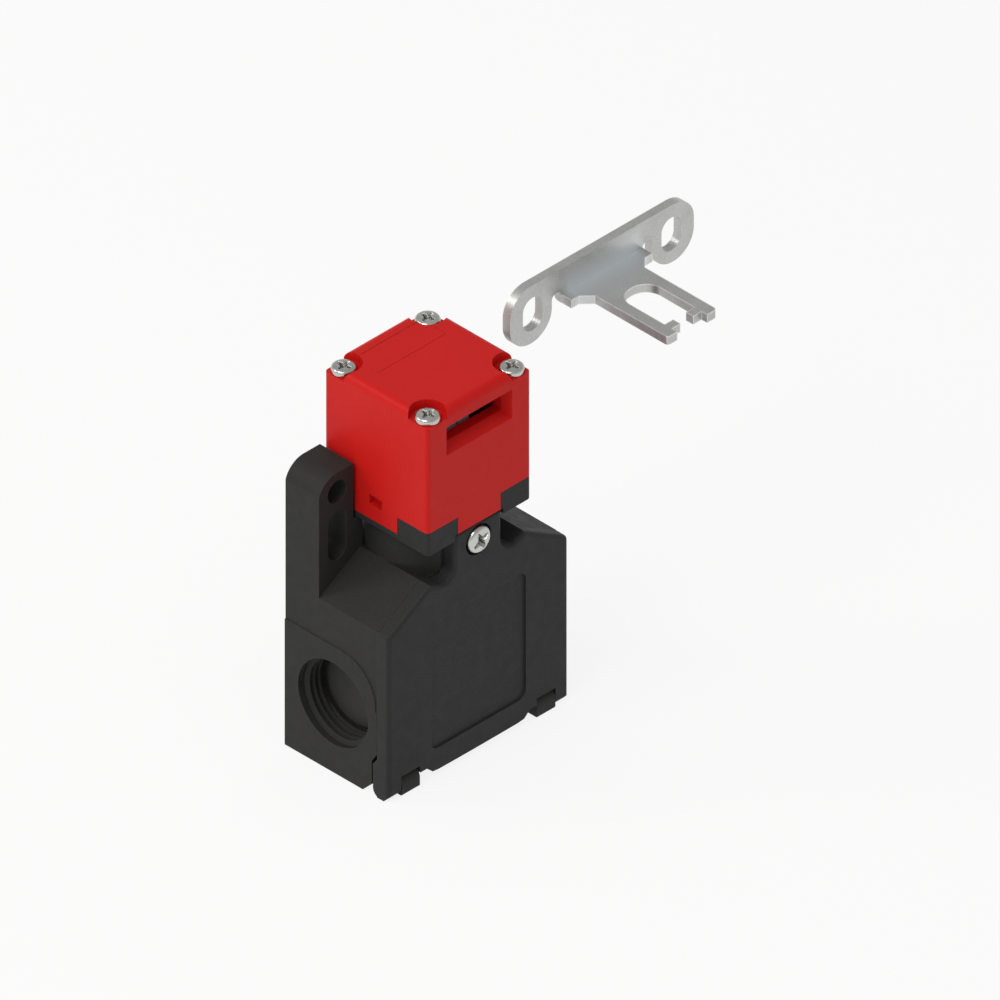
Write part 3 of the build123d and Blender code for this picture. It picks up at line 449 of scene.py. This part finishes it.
def turned(work, profile, steps=48):
    """Adds a turned solid about Z; its profile of (radius, height) runs from axis to axis."""
    rings = []
    for radius, height in profile:
        if radius == 0:
            rings.append([work.verts.new((0, 0, height))])
        else:
            angles = [2 * pi * i / steps for i in range(steps)]
            rings.append([work.verts.new((radius * cos(a), radius * sin(a), height)) for a in angles])
    for low, high in zip(rings, rings[1:]):
        for i in range(steps):
            j = (i + 1) % steps
            corners = [low[i % len(low)], low[j % len(low)], high[j % len(high)], high[i % len(high)]]
            work.faces.new(list(dict.fromkeys(corners)))


def cross_cutter(span, width, depth, top):
    """Tapered cross, one closed body, that cuts a Phillips recess down from the height top."""
    arm = span / 2
    end = width / 2 * 0.8
    inner = width / 2 * 1.6
    corners = ((arm, end), (inner, inner), (end, arm))
    quarters = [Matrix.Rotation(quarter * pi / 2, 2) for quarter in range(4)]
    outline = [quarter @ Vector(corner) for quarter in quarters for corner in corners]
    mouth = (top + depth, 1.2)
    face = (top, 1.0)
    root = (top - depth, 0.62)
    point = top - 1.25 * depth
    work = bmesh.new()
    rings = [
        [work.verts.new((*(point * scale), height)) for point in outline]
        for height, scale in (mouth, face, root)
    ]
    rings.append([work.verts.new((0, 0, point))])
    for low, high in zip(rings, rings[1:]):
        for i in range(len(outline)):
            j = (i + 1) % len(outline)
            ring = [low[i], low[j], high[j % len(high)], high[i % len(high)]]
            work.faces.new(list(dict.fromkeys(ring)))
    work.faces.new(rings[0])
    bmesh.ops.recalc_face_normals(work, faces=work.faces)
    return made("cutter", work)


def screw(name, radius, height, shank_radius, shank_length, recess):
    """Pan head screw about Z, seated at zero: crowned head, Phillips recess and threaded shank."""
    work = bmesh.new()
    middle = ((0, 0), (0.6, 0.02), (0.78, 0.06), (0.88, 0.13))
    edge = ((0.95, 0.25), (0.99, 0.42), (1, 0.6), (1, 0.94))
    profile = [(share * radius, height - drop * height) for share, drop in middle + edge]
    profile += [(0.96 * radius, 0), (shank_radius, 0)]
    crest_drop = 0.2
    root_drop = 0.5
    root_radius = shank_radius * 0.84
    for i in range(int((shank_length - SCREW_PITCH) / SCREW_PITCH)):
        turn_drop = -i * SCREW_PITCH
        profile += [(shank_radius, turn_drop - crest_drop), (root_radius, turn_drop - root_drop)]
    tip = -shank_length
    tip_bevel = 0.4
    profile += [(shank_radius * 0.8, tip + tip_bevel), (shank_radius * 0.5, tip), (0, tip)]
    turned(work, [(r * MM, z * MM) for r, z in profile])
    bmesh.ops.recalc_face_normals(work, faces=work.faces)
    piece = made(name, work)
    slit = 0.21 * recess
    deep = 0.36 * recess
    cutter = cross_cutter(recess * MM, slit * MM, deep * MM, height * MM)
    cut = piece.modifiers.new("recess", "BOOLEAN")
    cut.object = cutter
    cut.operation = "DIFFERENCE"
    cut.solver = "EXACT"
    rounding = piece.modifiers.new("edge", "BEVEL")
    rounding.width = SCREW_EDGE * MM
    rounding.segments = 2
    rounding.limit_method = "ANGLE"
    rounding.angle_limit = radians(40)
    settle(piece)
    bpy.data.objects.remove(cutter)
    return piece


def joined(name, meshes, matrices):
    """One object from placed copies of meshes."""
    work = bmesh.new()
    for mesh, matrix in zip(meshes, matrices):
        copy = mesh.copy()
        copy.transform(matrix)
        work.from_mesh(copy)
        bpy.data.meshes.remove(copy)
    piece = made(name, work)
    shade(piece, 40)
    return piece


def head_screws():
    """Four screws in the corners of the head."""
    low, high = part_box("head_screws")
    model = screw(
        "head_screw", HEAD_SCREW_RADIUS, HEAD_SCREW_HIGH, HEAD_SCREW_SHANK, HEAD_SCREW_LONG,
        HEAD_SCREW_RECESS,
    )
    turn = Matrix.Rotation(radians(HEAD_SCREW_TURN), 4, "Z")
    places = []
    for x in (low[0] + HEAD_SCREW_RADIUS * MM, high[0] - HEAD_SCREW_RADIUS * MM):
        for y in (low[1] + HEAD_SCREW_RADIUS * MM, high[1] - HEAD_SCREW_RADIUS * MM):
            seat = Matrix.Translation((x, y, high[2] - HEAD_SCREW_SEAT * MM))
            places.append(seat @ turn)
    piece = joined("head_screws_detailed", [model.data] * len(places), places)
    bpy.data.objects.remove(model)
    paint(piece, "steel_bright")
    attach(piece, "housing")
    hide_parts("head_screws")


def cover_screw():
    """Captive screw in the tongue of the cover."""
    low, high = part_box("cover_screw")
    model = screw(
        "cover_screw_model", COVER_SCREW_RADIUS, COVER_SCREW_HIGH, COVER_SCREW_SHANK, COVER_SCREW_LONG,
        COVER_SCREW_RECESS,
    )
    middle_x = (low[0] + high[0]) / 2
    middle_z = (low[2] + high[2]) / 2
    seat = Matrix.Translation((middle_x, low[1] + COVER_SCREW_HIGH * MM, middle_z))
    turn = Matrix.Rotation(radians(90), 4, "X") @ Matrix.Rotation(radians(COVER_SCREW_TURN), 4, "Z")
    piece = joined("cover_screw_detailed", [model.data], [seat @ turn])
    bpy.data.objects.remove(model)
    paint(piece, "steel_bright")
    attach(piece, "cover")
    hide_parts("cover_screw")


def conduit_thread(name, side):
    """Internal thread of a cable entry: a ridge along a helix, fading out at both ends."""
    outer = CONDUIT_RADIUS + THREAD_ROOTED
    fade_steps = THREAD_STEPS * THREAD_FADE
    total = THREAD_STEPS * THREAD_TURNS
    work = bmesh.new()
    rows = []
    for i in range(total + 1):
        angle = 2 * pi * i / THREAD_STEPS
        fade = min(1.0, i / fade_steps, (total - i) / fade_steps)
        row = []
        for offset, height in THREAD_RIDGE:
            radius = outer - (outer - THREAD_MINOR) * height * fade
            depth = THREAD_START + THREAD_PITCH * i / THREAD_STEPS + offset
            y = CONDUIT_Y + radius * cos(angle)
            z = CONDUIT_HEIGHT + radius * sin(angle)
            row.append(work.verts.new(Vector((side * (CONDUIT_FACE - depth), y, z)) * MM))
        rows.append(row)
    corners = len(THREAD_RIDGE)
    for low, high in zip(rows, rows[1:]):
        for i in range(corners):
            j = (i + 1) % corners
            work.faces.new((low[i], low[j], high[j], high[i]))
    work.faces.new(rows[0])
    work.faces.new(rows[-1])
    bmesh.ops.recalc_face_normals(work, faces=work.faces)
    piece = made(name, work)
    shade(piece, 30)
    paint(piece, "housing_black")
    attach(piece, "housing")


def knockout(name, side):
    """Thin disc that closes a cable entry: a raised rim round a shallow dish."""
    work = bmesh.new()
    r = DISC_RADIUS
    dish = [(0, 0.45), (0.55 * r, 0.5), (0.62 * r, 0.62)]
    rim = [(0.9 * r, 0.66), (0.96 * r, 0.6), (r, 0.4)]
    back = [(r, DISC_BACK), (0, DISC_BACK)]
    turned(work, [(radius * MM, height * MM) for radius, height in dish + rim + back], DISC_STEPS)
    bmesh.ops.recalc_face_normals(work, faces=work.faces)
    piece = made(name, work)
    spot = Vector((side * (CONDUIT_FACE - CONDUIT_DEPTH), CONDUIT_Y, CONDUIT_HEIGHT)) * MM
    piece.data.transform(Matrix.Translation(spot) @ Matrix.Rotation(side * pi / 2, 4, "Y"))
    shade(piece, 35)
    # The lightened black paints light on the disc in the shaded cable entry.
    paint(piece, "housing_black", "disc_black_lit")
    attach(piece, "housing")


def studio():
    """Pale floor, sky that is weaker overhead than at the horizon, soft lamps from the upper left."""
    world = bpy.data.worlds.new("studio")
    SCENE.world = world
    world.use_nodes = True
    tree = world.node_tree
    sky = tree.nodes["Background"]
    sky.inputs["Color"].default_value = (1.0, 1.0, 1.0, 1)
    strength = remap(tree, own_axes(tree, "Generated")["Z"], SKY_HEIGHTS, SKY_STRENGTH)
    tree.links.new(strength, sky.inputs["Strength"])

    work = bmesh.new()
    bmesh.ops.create_grid(work, x_segments=1, y_segments=1, size=FLOOR_HALF)
    floor = made("floor", work)
    floor.location.z = -FLOOR_BELOW
    material, tree, shader = new_material("floor")
    shader.inputs["Base Color"].default_value = FLOOR_GREY
    shader.inputs["Roughness"].default_value = 0.9
    shader.inputs["Specular IOR Level"].default_value = 0.1
    glow = tree.nodes.new("ShaderNodeEmission")
    glow.inputs["Strength"].default_value = 1.0
    path = tree.nodes.new("ShaderNodeLightPath")
    seen = tree.nodes.new("ShaderNodeMath")
    seen.operation = "MAXIMUM"
    tree.links.new(path.outputs["Is Camera Ray"], seen.inputs[0])
    tree.links.new(path.outputs["Is Glossy Ray"], seen.inputs[1])
    share = remap(tree, seen.outputs["Value"], (0.0, 1.0), (0.0, FLOOR_GLOW))
    blend = tree.nodes.new("ShaderNodeMixShader")
    tree.links.new(share, blend.inputs["Fac"])
    tree.links.new(shader.outputs["BSDF"], blend.inputs[1])
    tree.links.new(glow.outputs["Emission"], blend.inputs[2])
    tree.links.new(blend.outputs["Shader"], tree.nodes["Material Output"].inputs["Surface"])
    floor.data.materials.append(material)

    def soft_lamp(name, place, size, power):
        lamp = bpy.data.lights.new(name, "AREA")
        lamp.color = LAMP_COLOUR
        lamp.shape = "SQUARE"
        lamp.size = size
        lamp.energy = power
        obj = link(bpy.data.objects.new(name, lamp))
        obj.location = Vector(place)
        obj.rotation_euler = (Vector(LAMP_AIM) - Vector(place)).to_track_quat("-Z", "Y").to_euler()

    soft_lamp("upper_left", (-0.62, -0.05, 0.97), size=0.5, power=4.7)
    soft_lamp("upper_back", (-0.62, 0.62, 0.66), size=0.3, power=1.9)


def camera():
    """Looks along the diagonal of the axes, as the photograph does."""
    lens = bpy.data.cameras.new("camera")
    lens.type = "ORTHO"
    lens.ortho_scale = PIXELS / PIXELS_PER_MM * MM
    lens.clip_end = CAMERA_REACH
    obj = link(bpy.data.objects.new("camera", lens))
    obj.location = VIEW_CENTRE - VIEW_DIRECTION * CAMERA_AWAY
    obj.rotation_euler = VIEW_DIRECTION.to_track_quat("-Z", "Y").to_euler()
    SCENE.camera = obj


camera()
studio()
SCENE.view_settings.view_transform = "Standard"
finish_cad_nodes()
dressed("base_housing", "housing", "housing_black", width=0.3)
dressed("front_cover", "cover", "cover_black", width=0.18)
dressed("head_flange", "housing", "cover_black", width=0.22)
dressed("head_housing", "housing", "head_red", width=0.2)
dressed("slot_plug", "housing", "head_red", width=0.22)
dressed("actuator_key", "key", "steel_key", width=0.13)
dressed("contact_block", "housing", "block_cream", width=0.25)
dressed("drum_insert", "drum", "steel_dark", width=0.12)
dressed("terminal_screws", "housing", "steel_bright", width=0.12)
dressed("fixed_contacts", "housing", "brass_contact", width=0.1)
dressed("block_screws", "housing", "steel_bright", width=0.12)
head_screws()
cover_screw()
for side_name, side_sign in (("left", -1), ("right", 1)):
    conduit_thread(f"conduit_thread_{side_name}", side_sign)
    knockout(f"knockout_{side_name}", side_sign)
